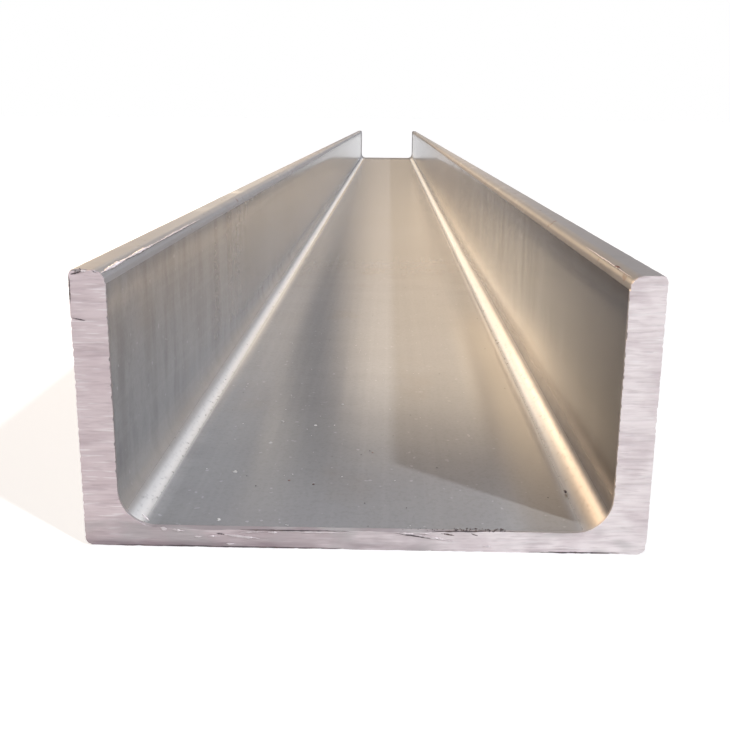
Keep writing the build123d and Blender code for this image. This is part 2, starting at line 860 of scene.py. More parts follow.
@dataclass
class RaisedStrings:
    """Raised strings that lie on the beam, swept by Geometry Nodes: torn slivers, lips, strings of scale,
    and dark strings of painted shade.
    """

    name: str
    slivers: tuple[Sliver, ...]
    near_end: float
    points: int = 40  # along each sliver
    sides: int = 6
    sway: float = 0.3 * MM
    sway_size: float = 3 * MM
    lump_size: float = 0.9 * MM
    lumps: tuple[float, float] = (0.3, 1.3)  # the least and the most that a lump makes of the girth
    tip: float = 0.15  # the girth at both tips, as a share of the middle's
    seed: float = 1.0

    def line_mesh(self) -> bpy.types.Mesh:
        """One edge for each sliver, with its girth."""
        mesh = bpy.data.meshes.new(f"{self.name}_lines")
        ends = [end for sliver in self.slivers for end in (sliver.start, sliver.end)]
        places = [(x * MM, self.near_end + y * MM, z * MM) for x, y, z in ends]
        mesh.from_pydata(places, [(i, i + 1) for i in range(0, len(places), 2)], [])
        store(mesh, "girth", [sliver.girth * MM for sliver in self.slivers for end in range(2)])
        return mesh

    def sweep_tree(self, values: dict[str, Any]) -> bpy.types.NodeTree:
        """The tree that sways each line a little, and sweeps it with a lumpy, tapered section.

        What would stand out past the beam's end is pressed flat there.

        Args:
            values: the values of its inputs, by name.

        Returns:
            The tree.
        """
        tree = start_tree(f"{self.name}_sweep", values)
        given = add_node(tree, "NodeGroupInput").outputs
        lines = add_node(tree, "GeometryNodeMeshToCurve", inputs={0: given["Geometry"]})
        fine = add_node(
            tree,
            "GeometryNodeResampleCurve",
            {"mode": "COUNT"},
            {"Curve": lines, "Count": given["Points"]},
        )
        place = add_node(tree, "GeometryNodeInputPosition")
        noises = []
        for size in ("Sway Size", "Lump Size"):
            scale = add_node(tree, "ShaderNodeMath", {"operation": "DIVIDE"}, {0: 1.0, 1: given[size]})
            noises.append(
                add_node(
                    tree,
                    "ShaderNodeTexNoise",
                    {"noise_dimensions": "4D"},
                    {"Vector": place, "W": given["Seed"], "Scale": scale, "Detail": 2.0},
                )
            )
        centred = add_node(
            tree,
            "ShaderNodeVectorMath",
            {"operation": "SUBTRACT"},
            {0: noises[0].outputs["Color"], 1: (0.5, 0.5, 0.5)},
        )
        sway = add_node(
            tree, "ShaderNodeVectorMath", {"operation": "SCALE"}, {0: centred, "Scale": given["Sway"]}
        )
        swayed = add_node(
            tree, "GeometryNodeSetPosition", inputs={"Geometry": fine, "Offset": sway}
        )
        factor = add_node(tree, "GeometryNodeSplineParameter").outputs["Factor"]
        half_turn = add_node(tree, "ShaderNodeMath", {"operation": "MULTIPLY"}, {0: factor, 1: math.pi})
        arch = add_node(tree, "ShaderNodeMath", {"operation": "SINE"}, {0: half_turn})
        taper = add_node(tree, "ShaderNodeMapRange", inputs={"Value": arch, "To Min": self.tip})
        least, most = self.lumps
        lump = add_node(
            tree,
            "ShaderNodeMapRange",
            inputs={"Value": noises[1], "From Min": 0.3, "From Max": 0.7, "To Min": least, "To Max": most},
        )
        girth = add_node(tree, "GeometryNodeInputNamedAttribute", inputs={"Name": "girth"})
        lumpy = add_node(tree, "ShaderNodeMath", {"operation": "MULTIPLY"}, {0: taper, 1: lump})
        radius = add_node(tree, "ShaderNodeMath", {"operation": "MULTIPLY"}, {0: lumpy, 1: girth})
        ring = add_node(
            tree,
            "GeometryNodeCurvePrimitiveCircle",
            inputs={"Resolution": given["Sides"], "Radius": 1.0},
        )
        swept = add_node(
            tree,
            "GeometryNodeCurveToMesh",
            inputs={"Curve": swayed, "Profile Curve": ring, "Scale": radius, "Fill Caps": True},
        )
        parts = add_node(tree, "ShaderNodeSeparateXYZ", inputs={0: place}).outputs
        inside = add_node(
            tree, "ShaderNodeMath", {"operation": "MAXIMUM"}, {0: parts["Y"], 1: given["Near End"]}
        )
        pressed = add_node(
            tree, "ShaderNodeCombineXYZ", inputs={"X": parts["X"], "Y": inside, "Z": parts["Z"]}
        )
        flat = add_node(
            tree, "GeometryNodeSetPosition", inputs={"Geometry": swept, "Position": pressed}
        )
        close_tree(tree, flat, given["Material"])
        return tree

    def build(self, finish: bpy.types.Material, slot: Slot) -> bpy.types.Object:
        """Makes the piece.

        Args:
            finish: its material.
            slot: the record's slot that the finish belongs to; not used.

        Returns:
            The finished piece.
        """
        values = {
            "Points": self.points,
            "Sides": self.sides,
            "Sway": self.sway,
            "Sway Size": self.sway_size,
            "Lump Size": self.lump_size,
            "Near End": self.near_end,
            "Seed": self.seed,
            "Material": finish,
        }
        sweep = self.sweep_tree(values)
        return make_piece(self.name, self.line_mesh(), sweep, values, SMALL_CREASE)


@dataclass(frozen=True)
class Patch:
    """A box where grains lie, in millimetres, and how many: X, distance from the near end, and Z."""

    low: tuple[float, float, float]
    high: tuple[float, float, float]
    count: int
    radius: float


@dataclass
class LooseGrains:
    """Grains that stick to the beam: flecks, scale or rust, set on points by Geometry Nodes."""

    name: str
    patches: tuple[Patch, ...]
    near_end: float
    flat: float = 0.3  # a grain's height as a share of its width
    size_spread: tuple[float, float] = (0.6, 1.3)  # the smallest and the largest, of the given radius
    most_turn: tuple[float, float, float] = (0.2, 0.2, math.tau)  # about X, Y and Z, in radians
    least_stretch: tuple[float, float, float] = (0.6, 0.7, 0.8)
    most_stretch: tuple[float, float, float] = (1.3, 1.4, 1.2)
    seed: int = 1

    def point_mesh(self) -> bpy.types.Mesh:
        """The places of the grains, spread through the patches at random, with their sizes."""
        chance = random.Random(self.seed)
        places, sizes = [], []
        for patch in self.patches:
            for _ in range(patch.count):
                x, y, z = (chance.uniform(low, high) for low, high in zip(patch.low, patch.high))
                places.append((x * MM, self.near_end + y * MM, z * MM))
                sizes.append(patch.radius * chance.uniform(*self.size_spread) * MM)
        mesh = bpy.data.meshes.new(f"{self.name}_places")
        mesh.from_pydata(places, [], [])
        store(mesh, "size", sizes)
        return mesh

    def grain_tree(self, values: dict[str, Any]) -> bpy.types.NodeTree:
        """The tree that sets a flat, turned lump on each place.

        Args:
            values: the values of its inputs, by name.

        Returns:
            The tree.
        """
        tree = start_tree(f"{self.name}_grains", values)
        given = add_node(tree, "NodeGroupInput").outputs
        points = add_node(tree, "GeometryNodeMeshToPoints", inputs={"Mesh": given["Geometry"]})
        lump = add_node(tree, "GeometryNodeMeshIcoSphere", inputs={"Radius": 1.0, "Subdivisions": 2})
        turn = add_node(
            tree,
            "FunctionNodeRandomValue",
            {"data_type": "FLOAT_VECTOR"},
            {0: (0.0, 0.0, 0.0), 1: self.most_turn, "Seed": given["Seed"]},
        )
        stretch = add_node(
            tree,
            "FunctionNodeRandomValue",
            {"data_type": "FLOAT_VECTOR"},
            {0: self.least_stretch, 1: self.most_stretch, "Seed": given["Seed"]},
        )
        flatten = add_node(tree, "ShaderNodeCombineXYZ", inputs={"X": 1.0, "Y": 1.0, "Z": given["Flat"]})
        shape = add_node(
            tree, "ShaderNodeVectorMath", {"operation": "MULTIPLY"}, {0: stretch, 1: flatten}
        )
        size = add_node(tree, "GeometryNodeInputNamedAttribute", inputs={"Name": "size"})
        scale = add_node(
            tree, "ShaderNodeVectorMath", {"operation": "SCALE"}, {0: shape, "Scale": size}
        )
        grains = add_node(
            tree,
            "GeometryNodeInstanceOnPoints",
            inputs={"Points": points, "Instance": lump, "Rotation": turn, "Scale": scale},
        )
        close_tree(tree, grains, given["Material"])
        return tree

    def build(self, finish: bpy.types.Material) -> bpy.types.Object:
        """Makes the piece.

        Args:
            finish: its material.

        Returns:
            The finished piece.
        """
        values = {"Flat": self.flat, "Seed": self.seed, "Material": finish}
        grains = self.grain_tree(values)
        return make_piece(self.name, self.point_mesh(), grains, values, SMALL_CREASE)


@dataclass(frozen=True)
class Pattern:
    """A noise at a real size, which gives 0 to 1.

    size is in millimetres along X, Y and Z. The noise shows from low and is full at high: where these
    are close, it makes patches with an edge.
    """

    size: tuple[float, float, float]
    low: float = 0.35
    high: float = 0.65
    detail: float = 2.0
    seed: float = 0.0

    def value(self, tree: bpy.types.NodeTree, place: bpy.types.NodeSocket) -> bpy.types.Node:
        """Adds the pattern to a material.

        Args:
            tree: the material's tree.
            place: the coordinates, in metres.

        Returns:
            The node that gives the value.
        """
        spread = add_node(
            tree,
            "ShaderNodeMapping",
            inputs={"Vector": place, "Scale": tuple(1 / (size * MM) for size in self.size)},
        )
        noise = add_node(
            tree,
            "ShaderNodeTexNoise",
            {"noise_dimensions": "4D"},
            {"Vector": spread, "W": self.seed, "Scale": 1.0, "Detail": self.detail},
        )
        return add_node(
            tree,
            "ShaderNodeMapRange",
            {"interpolation_type": "SMOOTHSTEP"},
            {"Value": noise, "From Min": self.low, "From Max": self.high},
        )


@dataclass(frozen=True)
class Zone:
    """A stretch along X, Y or Z that a layer keeps to: it starts at one place and is full at another."""

    axis: str
    start: float
    full: float


@dataclass(frozen=True)
class Layer:
    """A colour laid over the steel where a pattern, its zones and an attribute of the mesh allow it."""

    colour: str
    strength: float  # how much of the colour below it hides
    pattern: Pattern | None = None  # none covers everything that the zones and the attribute allow
    rougher: float = 0.0  # what it adds to the steel's roughness
    barer: float = 0.0  # what it adds to the steel's metallic share
    only: str | None = None  # the attribute
    zones: tuple[Zone, ...] = ()


@dataclass(frozen=True)
class Relief:
    """Unevenness that is too fine for the mesh: a pattern and its height."""

    pattern: Pattern
    height: float


@dataclass(frozen=True)
class SteelFinish:
    """A steel surface: a base colour, the layers over it from the lowest up, and its fine relief."""

    name: str
    colour: str
    roughness: float
    metallic: float
    layers: tuple[Layer, ...] = ()
    reliefs: tuple[Relief, ...] = ()

    def cover(self, tree: bpy.types.NodeTree, place: bpy.types.NodeSocket, layer: Layer) -> Any:
        """How much of the surface a layer covers.

        Args:
            tree: the material's tree.
            place: the coordinates, in metres.
            layer: the layer.

        Returns:
            0 for none and 1 for all of it: the node that gives it, or the number itself.
        """
        share: Any = layer.pattern.value(tree, place) if layer.pattern else 1.0
        if layer.only:
            kept = add_node(tree, "ShaderNodeAttribute", {"attribute_name": layer.only}).outputs["Fac"]
            share = add_node(tree, "ShaderNodeMath", {"operation": "MULTIPLY"}, {0: share, 1: kept})
        for zone in layer.zones:
            along = add_node(tree, "ShaderNodeSeparateXYZ", inputs={0: place}).outputs[zone.axis]
            inside = add_node(
                tree,
                "ShaderNodeMapRange",
                {"interpolation_type": "SMOOTHSTEP"},
                {"Value": along, "From Min": zone.start, "From Max": zone.full},
            )
            share = add_node(tree, "ShaderNodeMath", {"operation": "MULTIPLY"}, {0: share, 1: inside})
        return share

    def material(self) -> bpy.types.Material:
        """Makes the material."""
        made = bpy.data.materials.new(self.name)
        made.use_nodes = True
        tree = made.node_tree
        tree.nodes.clear()
        place = add_node(tree, "ShaderNodeTexCoord").outputs["Object"]
        colour: Any = linear(self.colour)
        roughness: Any = self.roughness
        metallic: Any = self.metallic
        for layer in self.layers:
            share = self.cover(tree, place, layer)
            amount = add_node(
                tree, "ShaderNodeMath", {"operation": "MULTIPLY"}, {0: share, 1: layer.strength}
            )
            colour = add_node(
                tree,
                "ShaderNodeMix",
                {"data_type": "RGBA"},
                {0: amount, 6: colour, 7: linear(layer.colour)},
            ).outputs[2]
            if layer.rougher:
                roughness = add_node(
                    tree,
                    "ShaderNodeMath",
                    {"operation": "MULTIPLY_ADD"},
                    {0: share, 1: layer.rougher, 2: roughness},
                )
            if layer.barer:
                metallic = add_node(
                    tree,
                    "ShaderNodeMath",
                    {"operation": "MULTIPLY_ADD"},
                    {0: share, 1: layer.barer, 2: metallic},
                )
        shader = add_node(
            tree,
            "ShaderNodeBsdfPrincipled",
            inputs={"Base Color": colour, "Roughness": roughness, "Metallic": metallic},
        )
        normal = None
        for relief in self.reliefs:
            inputs = {"Height": relief.pattern.value(tree, place), "Distance": relief.height}
            if normal:
                inputs["Normal"] = normal
            normal = add_node(tree, "ShaderNodeBump", inputs=inputs)
        if normal:
            tree.links.new(normal.outputs[0], shader.inputs["Normal"])
        add_node(tree, "ShaderNodeOutputMaterial", inputs={"Surface": shader})
        return made


def rolled_steel(section: RolledSection) -> SteelFinish:
    """Hot rolled structural steel. Its thin mill scale is worn smooth and dull grey by the rolls.

    The rolling leaves fine lines along the beam, the straightening and handling leave soft streaks
    across it, the root fillets carry slightly mottled bands painted bright as highlights, and the tips
    of the flanges keep more brown scale with a little rust. Painted light brightens the strips beside
    the right root, and painted shade darkens the near ends of the right flange and of its band.
    """
    near, far = -section.length / 2, section.length / 2
    on_flange = Zone("Z", section.web, section.web + section.root_radius)
    return SteelFinish(
        name="hot_rolled_mill_scale",
        colour="#B2B2B3",
        roughness=0.19,
        metallic=0.35,
        layers=(
            # Soft clouds of scale, and cool patches
            Layer("#A3A29F", 0.4, Pattern((90, 150, 90), seed=1)),
            Layer("#99969A", 0.22, Pattern((60, 30, 45), 0.4, 0.65, 3, seed=14)),
            # Streaks down the flanges
            Layer("#7F7977", 0.4, Pattern((110, 11, 45), 0.42, 0.7, 3, seed=2), zones=(on_flange,)),
            # Fine rolling lines along the beam, and the grain of the scale
            Layer("#C3C2C1", 0.14, Pattern((2.4, 480, 2.4), 0.45, 0.7, 2, seed=3)),
            Layer("#8C8A88", 0.2, Pattern((1.1, 1.3, 1.1), 0.45, 0.7, 2, seed=4)),
            # Faint brown stains, and small pale chips
            Layer("#A39584", 0.25, Pattern((35, 60, 35), 0.58, 0.75, 3, seed=5)),
            Layer("#D8D8DA", 0.5, Pattern((2.2, 2.6, 2.2), 0.7, 0.76, 1, seed=6)),
            # Dark marks at the left flange's near end
            Layer(
                "#77757A",
                0.3,
                Pattern((30, 8, 15), 0.45, 0.7, 3, seed=7),
                zones=(Zone("Y", near + 0.16, near + 0.03), Zone("X", -0.05, -0.06)),
            ),
            # Brown-grey streaks on the right flange
            Layer(
                "#756A63",
                0.5,
                Pattern((70, 7, 90), 0.42, 0.62, 3, seed=20),
                zones=(Zone("X", 0.05, 0.06), on_flange),
            ),
            # Painted shade: the right flange's near end, darker and browner
            Layer(
                "#4C433F",
                0.95,
                Pattern((40, 9, 60), 0.05, 0.4, 2, seed=15),
                zones=(
                    Zone("Y", near + 0.27, near + 0.01),
                    Zone("X", section.flange_inside - 0.01, section.flange_inside - 0.002),
                ),
            ),
            # Painted light: a pale strip of web beside the right root, standing in for the glow there
            Layer(
                "#E9DFCE",
                0.9,
                Pattern((30, 60, 30), 0.0, 0.35, 2, seed=16),
                zones=(
                    Zone("X", 0.034, 0.052),
                    Zone("Z", section.web + 0.003, section.web + 0.0005),
                    Zone("Y", near - 0.04, near + 0.12),
                    Zone("Y", near + 0.36, near + 0.2),
                ),
            ),
            # Painted light: a pale strip of flange above that root, also a little barer
            Layer(
                "#E6DCCB",
                0.65,
                Pattern((30, 60, 30), 0.1, 0.5, 2, seed=17),
                barer=0.2,
                zones=(
                    Zone("X", section.flange_inside - 0.004, section.flange_inside - 0.0005),
                    Zone("Z", section.web + 0.036, section.web + 0.008),
                    Zone("Y", near + 0.05, near + 0.16),
                ),
            ),
            # Painted highlights: the bright, slightly mottled bands of both roots
            Layer(
                "#F2F2F1",
                0.9,
                Pattern((1.5, 2.2, 1.5), 0.05, 0.5, 2, seed=8),
                rougher=0.16,
                barer=0.4,
                only="fillet",
            ),
            # Painted shade: the right band's near end, duller and darker
            Layer(
                "#857A70",
                0.8,
                Pattern((6, 14, 6), 0.0, 0.25, 2, seed=18),
                rougher=0.08,
                only="fillet",
                zones=(Zone("X", 0.0, 0.01), Zone("Y", near + 0.13, near + 0.01)),
            ),
            # Darker, rougher and less metallic towards the far end
            Layer(
                "#3C3330",
                0.8,
                Pattern((40, 60, 40), 0.1, 0.4, 2, seed=19),
                rougher=0.2,
                barer=-0.3,
                zones=(Zone("Y", far - 0.14, far - 0.07),),
            ),
            # Both roots, which are a little paler and duller
            Layer(
                "#BEBDBC",
                0.3,
                rougher=0.08,
                zones=(
                    Zone("Z", section.web + 0.016, section.web + 0.008),
                    Zone("Z", section.web + 0.001, section.web + 0.004),
                ),
            ),
            # Dull scale on the flanges' tips, with a little rust
            Layer(
                "#918E8D",
                0.85,
                Pattern((12, 30, 12), 0.1, 0.5, 3, seed=9),
                rougher=0.22,
                barer=-0.25,
                only="toe",
            ),
            Layer(
                "#86604C", 0.4, Pattern((4, 7, 4), 0.66, 0.72, 2, seed=10), rougher=0.2, only="toe"
            ),
            # Darker grey at the very far end
            Layer(
                "#66625F",
                0.6,
                Pattern((60, 60, 60), 0.2, 0.5, 2, seed=11),
                zones=(Zone("Y", far - 0.12, far - 0.02),),
            ),
        ),
        reliefs=(
            Relief(Pattern((1.6, 2, 1.6), 0.3, 0.8, 2, seed=12), 0.003 * MM),
            Relief(Pattern((4, 220, 4), 0.3, 0.8, 1, seed=13), 0.01 * MM),
        ),
    )


def sawn_steel() -> SteelFinish:
    """Structural steel cut by a cold saw: bare metal, pale with a faint pink, dulled by fine lines.

    The deep marks are darkened by painted shade, and the crests are burnished and painted brighter as
    glints.
    """
    return SteelFinish(
        name="cold_sawn_steel",
        colour="#F9F1F1",
        roughness=0.5,
        metallic=0.5,
        layers=(
            # Soft clouds, and the left side, which is a little darker
            Layer("#CDBDC1", 0.4, Pattern((12, 5, 8), 0.42, 0.62, 3, seed=21)),
            Layer("#D3C2C5", 0.7, zones=(Zone("X", 0.03, -0.05),)),
            # Burnished crests, painted brighter as glints
            Layer("#FBF8F8", 0.45, Pattern((7, 2, 0.6), 0.56, 0.68, 2, seed=22), rougher=-0.05),
            # Painted shade in the grooves, by their depth, and the rolled skin behind the face
            Layer("#8F7C84", 0.5, only="groove"),
            Layer("#8D8989", 0.85, only="rolled"),
            # Fine scratches, drawn coarser than the saw's own
            Layer("#A99A9E", 0.22, Pattern((5, 1, 0.45), 0.56, 0.68, 2, seed=23), rougher=0.05),
            # The upper strip of the web on the left, which is greyer
            Layer(
                "#9F9093",
                0.55,
                Pattern((16, 5, 5), 0.25, 0.6, 3, seed=25),
                zones=(Zone("Z", 0.0085, 0.006), Zone("X", 0.05, -0.01)),
            ),
            # Grey patches on the web
            Layer(
                "#B4B2B1",
                0.5,
                Pattern((18, 5, 9), 0.46, 0.6, 2, seed=26),
                zones=(Zone("Z", 0.009, 0.006),),
            ),
            # Painted shade along the lower edge on the left
            Layer(
                "#75626A",
                0.5,
                Pattern((20, 5, 4), 0.35, 0.55, 2, seed=27),
                zones=(Zone("Z", 0.0026, 0.0008), Zone("X", 0.03, -0.01)),
            ),
        ),
        reliefs=(Relief(Pattern((6, 6, 0.6), 0.4, 0.7, 2, seed=24), 0.02 * MM),),
    )


def torn_steel_and_highlight() -> SteelFinish:
    """Slivers that the saw tore up: bright bare steel, a little rough, which glints. The toe lips take it
    as a painted highlight.
    """
    return SteelFinish(
        name="torn_bright_steel",
        colour="#E4DCDD",
        roughness=0.4,
        metallic=0.35,
        layers=(Layer("#D9CFD0", 0.6, Pattern((1.2, 1.2, 0.8), 0.45, 0.6, 2, seed=31), rougher=0.1),),
    )


def flaked_scale_and_shade() -> SteelFinish:
    """Mill scale that came off in grains: blue-black iron oxide, dull, with a few brown ones. It also
    colours the dark strings of painted shade.
    """
    return SteelFinish(
        name="flaked_mill_scale",
        colour="#5C5458",
        roughness=0.6,
        metallic=0.1,
        layers=(Layer("#6B5A52", 0.7, Pattern((3, 3, 3), 0.5, 0.6, 1, seed=32), rougher=0.1),),
    )


def pale_dust() -> SteelFinish:
    """Chips of lime-pale dust that dried on the steel: matt, off-white to light grey."""
    return SteelFinish(
        name="dried_pale_dust",
        colour="#EEEDEA",
        roughness=0.85,
        metallic=0.0,
        layers=(Layer("#CFCBC8", 0.8, Pattern((4, 4, 4), 0.45, 0.6, 2, seed=33)),),
    )


def red_rust() -> SteelFinish:
    """Young rust in small specks: matt red-brown iron oxide."""
    return SteelFinish(
        name="red_rust",
        colour="#9A5A48",
        roughness=0.9,
        metallic=0.0,
        layers=(Layer("#7A4436", 0.8, Pattern((1, 1, 1), 0.4, 0.6, 2, seed=34)),),
    )


@dataclass(frozen=True)
class SoftBox:
    """A soft light far off, as wide and high as its angles in degrees.

    turn is its compass angle from straight ahead of the camera, and rise its height over the horizon.
    """

    turn: float
    rise: float
    half_width: float
    half_height: float
    strength: float
    colour: str
    edge: float = 2.0  # how far its light fades in and out, to each side of its rim


@dataclass(frozen=True)
class Studio:
    """The pale floor, the soft light and the camera."""

    near_end: float  # Y of the beam's near end
    floor_reach: float = 40.0
    floor_paint: str = "#C4C4C4"
    floor_glow: float = 0.68  # what the floor adds to its own paint, only for rays that show it
    sun_strength: float = 2.0
    sun_colour: str = "#F0F6FF"
    sun_width: float = math.radians(2.5)
    sun_way: tuple[float, float, float] = (0.563, -0.506, 0.654)
    camera_place: tuple[float, float, float] = (5.15 * MM, -241.4 * MM, 112.7 * MM)  # Y as below
    turned_left: float = math.radians(1.254)
    tilted_down: float = math.radians(14.285)
    rolled: float = math.radians(0.481)
    lens: float = 48.27  # in millimetres, as is the sensor
    sensor: float = 36.0
    side_light_place: tuple[float, float, float] = (-0.55, 0.85, 0.395)  # Y is from the near end
    side_light_aim: tuple[float, float, float] = (0.06, 0.3, 0.01)  # Y as above
    side_light_size: float = 0.16
    side_light_power: float = 5.6
    side_light_colour: str = "#FFDDB4"
    room: str = "#46464B"
    ambient: str = "#FFF1EC"
    ambient_strength: float = 0.275
    soft_boxes: tuple[SoftBox, ...] = (
        SoftBox(2.2, 15, 4.6, 2.4, 2.1, "#FFEBD2", 1.5),  # the top of the pale backdrop ahead
        SoftBox(2, 8, 4, 4, 1.0, "#FFE6C6"),  # the backdrop below it
        SoftBox(7.5, 13.5, 2.2, 3, 0.9, "#FFE8CC", 1.5),  # its right side
        SoftBox(12, 21, 3.5, 8, 0.8, "#EEF5FF"),  # a cool one on the right, for the left root
        SoftBox(18.5, 7.5, 3, 2.5, 2.0, "#F4F6FF", 1.5),  # a low one beside it
        SoftBox(0, 28, 15, 6, 0.6, "#F4F6FF", 3),  # the ceiling ahead
        SoftBox(-9.5, 15, 2.4, 3.2, 3.0, "#FFF0DC"),  # this and the next four: strips for the right flange
        SoftBox(-12, 19.5, 2, 2.5, 2.2, "#FFEFD8", 1.5),
        SoftBox(-8.2, 8.5, 2.2, 3.8, 3.0, "#FFE8C8", 1.5),
        SoftBox(-17.5, 10, 6, 3.4, 2.2, "#FFE9CE", 1.5),
        SoftBox(-5, 2.5, 2.2, 2.5, 1.2, "#FFE0BC", 1),
        SoftBox(0, 55, 30, 22, 1.2, "#FFF4EA", 4),  # the ceiling overhead
        SoftBox(-62, 35, 28, 40, 2.4, "#FFF1E2", 4),  # a large one on the left
        SoftBox(60, 35, 30, 40, 3.0, "#F4F6FF", 4),  # a large one on the right
        SoftBox(180, 35, 110, 50, 1.0, "#FBF6F6", 20),  # a large one behind the camera
    )

    def floor(self) -> None:
        """A pale floor that renders white where nothing shades it."""
        reach = self.floor_reach
        mesh = bpy.data.meshes.new("studio_floor")
        corners = [(-reach, -reach, 0), (reach, -reach, 0), (reach, reach, 0), (-reach, reach, 0)]
        mesh.from_pydata(corners, [], [(0, 1, 2, 3)])
        floor = new_piece("studio_floor", mesh)
        made = bpy.data.materials.new("studio_floor")
        made.use_nodes = True
        tree = made.node_tree
        tree.nodes.clear()
        seen = self.seen_rays(tree)
        glow = add_node(
            tree, "ShaderNodeMath", {"operation": "MULTIPLY"}, {0: seen, 1: self.floor_glow}
        )
        paint = add_node(tree, "ShaderNodeBsdfDiffuse", inputs={"Color": linear(self.floor_paint)})
        light = add_node(tree, "ShaderNodeEmission", inputs={"Color": WHITE, "Strength": glow})
        both = add_node(tree, "ShaderNodeAddShader", inputs={0: paint, 1: light})
        add_node(tree, "ShaderNodeOutputMaterial", inputs={"Surface": both})
        mesh.materials.append(made)

    def seen_rays(self, tree: bpy.types.NodeTree) -> bpy.types.Node:
        """1 for what the camera sees, directly, in a reflection or through glass."""
        path = add_node(tree, "ShaderNodeLightPath").outputs
        total = add_node(
            tree,
            "ShaderNodeMath",
            {"operation": "ADD"},
            {0: path["Is Camera Ray"], 1: path["Is Glossy Ray"]},
        )
        return add_node(
            tree,
            "ShaderNodeMath",
            {"operation": "ADD", "use_clamp": True},
            {0: total, 1: path["Is Transmission Ray"]},
        )

    def sky(self) -> None:
        """White to the camera. The steel reflects the soft boxes in a grey room."""
        world = bpy.data.worlds.new("studio_sky")
        world.use_nodes = True
        tree = world.node_tree
        tree.nodes.clear()
        way = add_node(tree, "ShaderNodeTexCoord").outputs["Generated"]
        parts = add_node(tree, "ShaderNodeSeparateXYZ", inputs={0: way}).outputs
        rise = add_node(tree, "ShaderNodeMath", {"operation": "ARCSINE"}, {0: parts["Z"]})
        turn = add_node(
            tree, "ShaderNodeMath", {"operation": "ARCTAN2"}, {0: parts["X"], 1: parts["Y"]}
        )
        rise = add_node(tree, "ShaderNodeMath", {"operation": "DEGREES"}, {0: rise})
        turn = add_node(tree, "ShaderNodeMath", {"operation": "DEGREES"}, {0: turn})
        colour: Any = linear(self.room)[:3]
        for box in self.soft_boxes:
            colour = self.add_soft_box(tree, box, turn, rise, colour)
        studio = add_node(tree, "ShaderNodeBackground", inputs={"Color": colour, "Strength": 1.0})
        ambient = add_node(
            tree,
            "ShaderNodeBackground",
            inputs={"Color": linear(self.ambient), "Strength": self.ambient_strength},
        )
        white = add_node(tree, "ShaderNodeBackground", inputs={"Color": WHITE, "Strength": 1.0})
        path = add_node(tree, "ShaderNodeLightPath").outputs
        lit = add_node(
            tree, "ShaderNodeMixShader", inputs={0: path["Is Glossy Ray"], 1: ambient, 2: studio}
        )
        seen = add_node(
            tree, "ShaderNodeMixShader", inputs={0: path["Is Camera Ray"], 1: lit, 2: white}
        )
        add_node(tree, "ShaderNodeOutputWorld", inputs={"Surface": seen})
        bpy.context.scene.world = world

    def add_soft_box(
        self,
        tree: bpy.types.NodeTree,
        box: SoftBox,
        turn: bpy.types.Node,
        rise: bpy.types.Node,
        colour: Any,
    ) -> bpy.types.NodeSocket:
        """Adds a soft box's light to the sky's colour.

        Args:
            tree: the sky's tree.
            box: the soft box.
            turn: the compass angle of the direction, in degrees.
            rise: its height over the horizon, in degrees.
            colour: the sky's colour so far.

        Returns:
            The colour with the box added.
        """
        shares = []
        for angle, centre, half in (
            (turn, box.turn, box.half_width),
            (rise, box.rise, box.half_height),
        ):
            off = add_node(tree, "ShaderNodeMath", {"operation": "SUBTRACT"}, {0: angle, 1: centre})
            short = add_node(
                tree, "ShaderNodeMath", {"operation": "WRAP"}, {0: off, 1: 180.0, 2: -180.0}
            )
            gap = add_node(tree, "ShaderNodeMath", {"operation": "ABSOLUTE"}, {0: short})
            shares.append(
                add_node(
                    tree,
                    "ShaderNodeMapRange",
                    {"interpolation_type": "SMOOTHSTEP"},
                    {"Value": gap, "From Min": half + box.edge, "From Max": half - box.edge},
                )
            )
        both = add_node(tree, "ShaderNodeMath", {"operation": "MULTIPLY"}, {0: shares[0], 1: shares[1]})
        light = add_node(
            tree, "ShaderNodeMath", {"operation": "MULTIPLY"}, {0: both, 1: box.strength}
        )
        glow = add_node(
            tree,
            "ShaderNodeVectorMath",
            {"operation": "SCALE"},
            {0: linear(box.colour)[:3], "Scale": light},
        )
        return add_node(tree, "ShaderNodeVectorMath", {"operation": "ADD"}, {0: colour, 1: glow}).outputs[0]

    def sun(self) -> None:
        """The key light, from the right and from the camera's side."""
        lamp = bpy.data.lights.new("key_light", "SUN")
        lamp.energy = self.sun_strength
        lamp.angle = self.sun_width
        lamp.color = linear(self.sun_colour)[:3]
        key = bpy.data.objects.new("key_light", lamp)
        key.rotation_mode = "QUATERNION"
        key.rotation_quaternion = Vector(self.sun_way).to_track_quat("Z", "Y")
        bpy.context.scene.collection.objects.link(key)

    def side_light(self) -> None:
        """A soft warm lamp ahead on the left, which lights the right root and the flange above it."""
        lamp = bpy.data.lights.new("side_light", "AREA")
        lamp.size = self.side_light_size
        lamp.energy = self.side_light_power
        lamp.color = linear(self.side_light_colour)[:3]
        light = bpy.data.objects.new("side_light", lamp)
        light.location = Vector(self.side_light_place) + Vector((0, self.near_end, 0))
        towards = Vector(self.side_light_aim) - Vector(self.side_light_place)
        light.rotation_mode = "QUATERNION"
        light.rotation_quaternion = (-towards).to_track_quat("Z", "Y")
        bpy.context.scene.collection.objects.link(light)

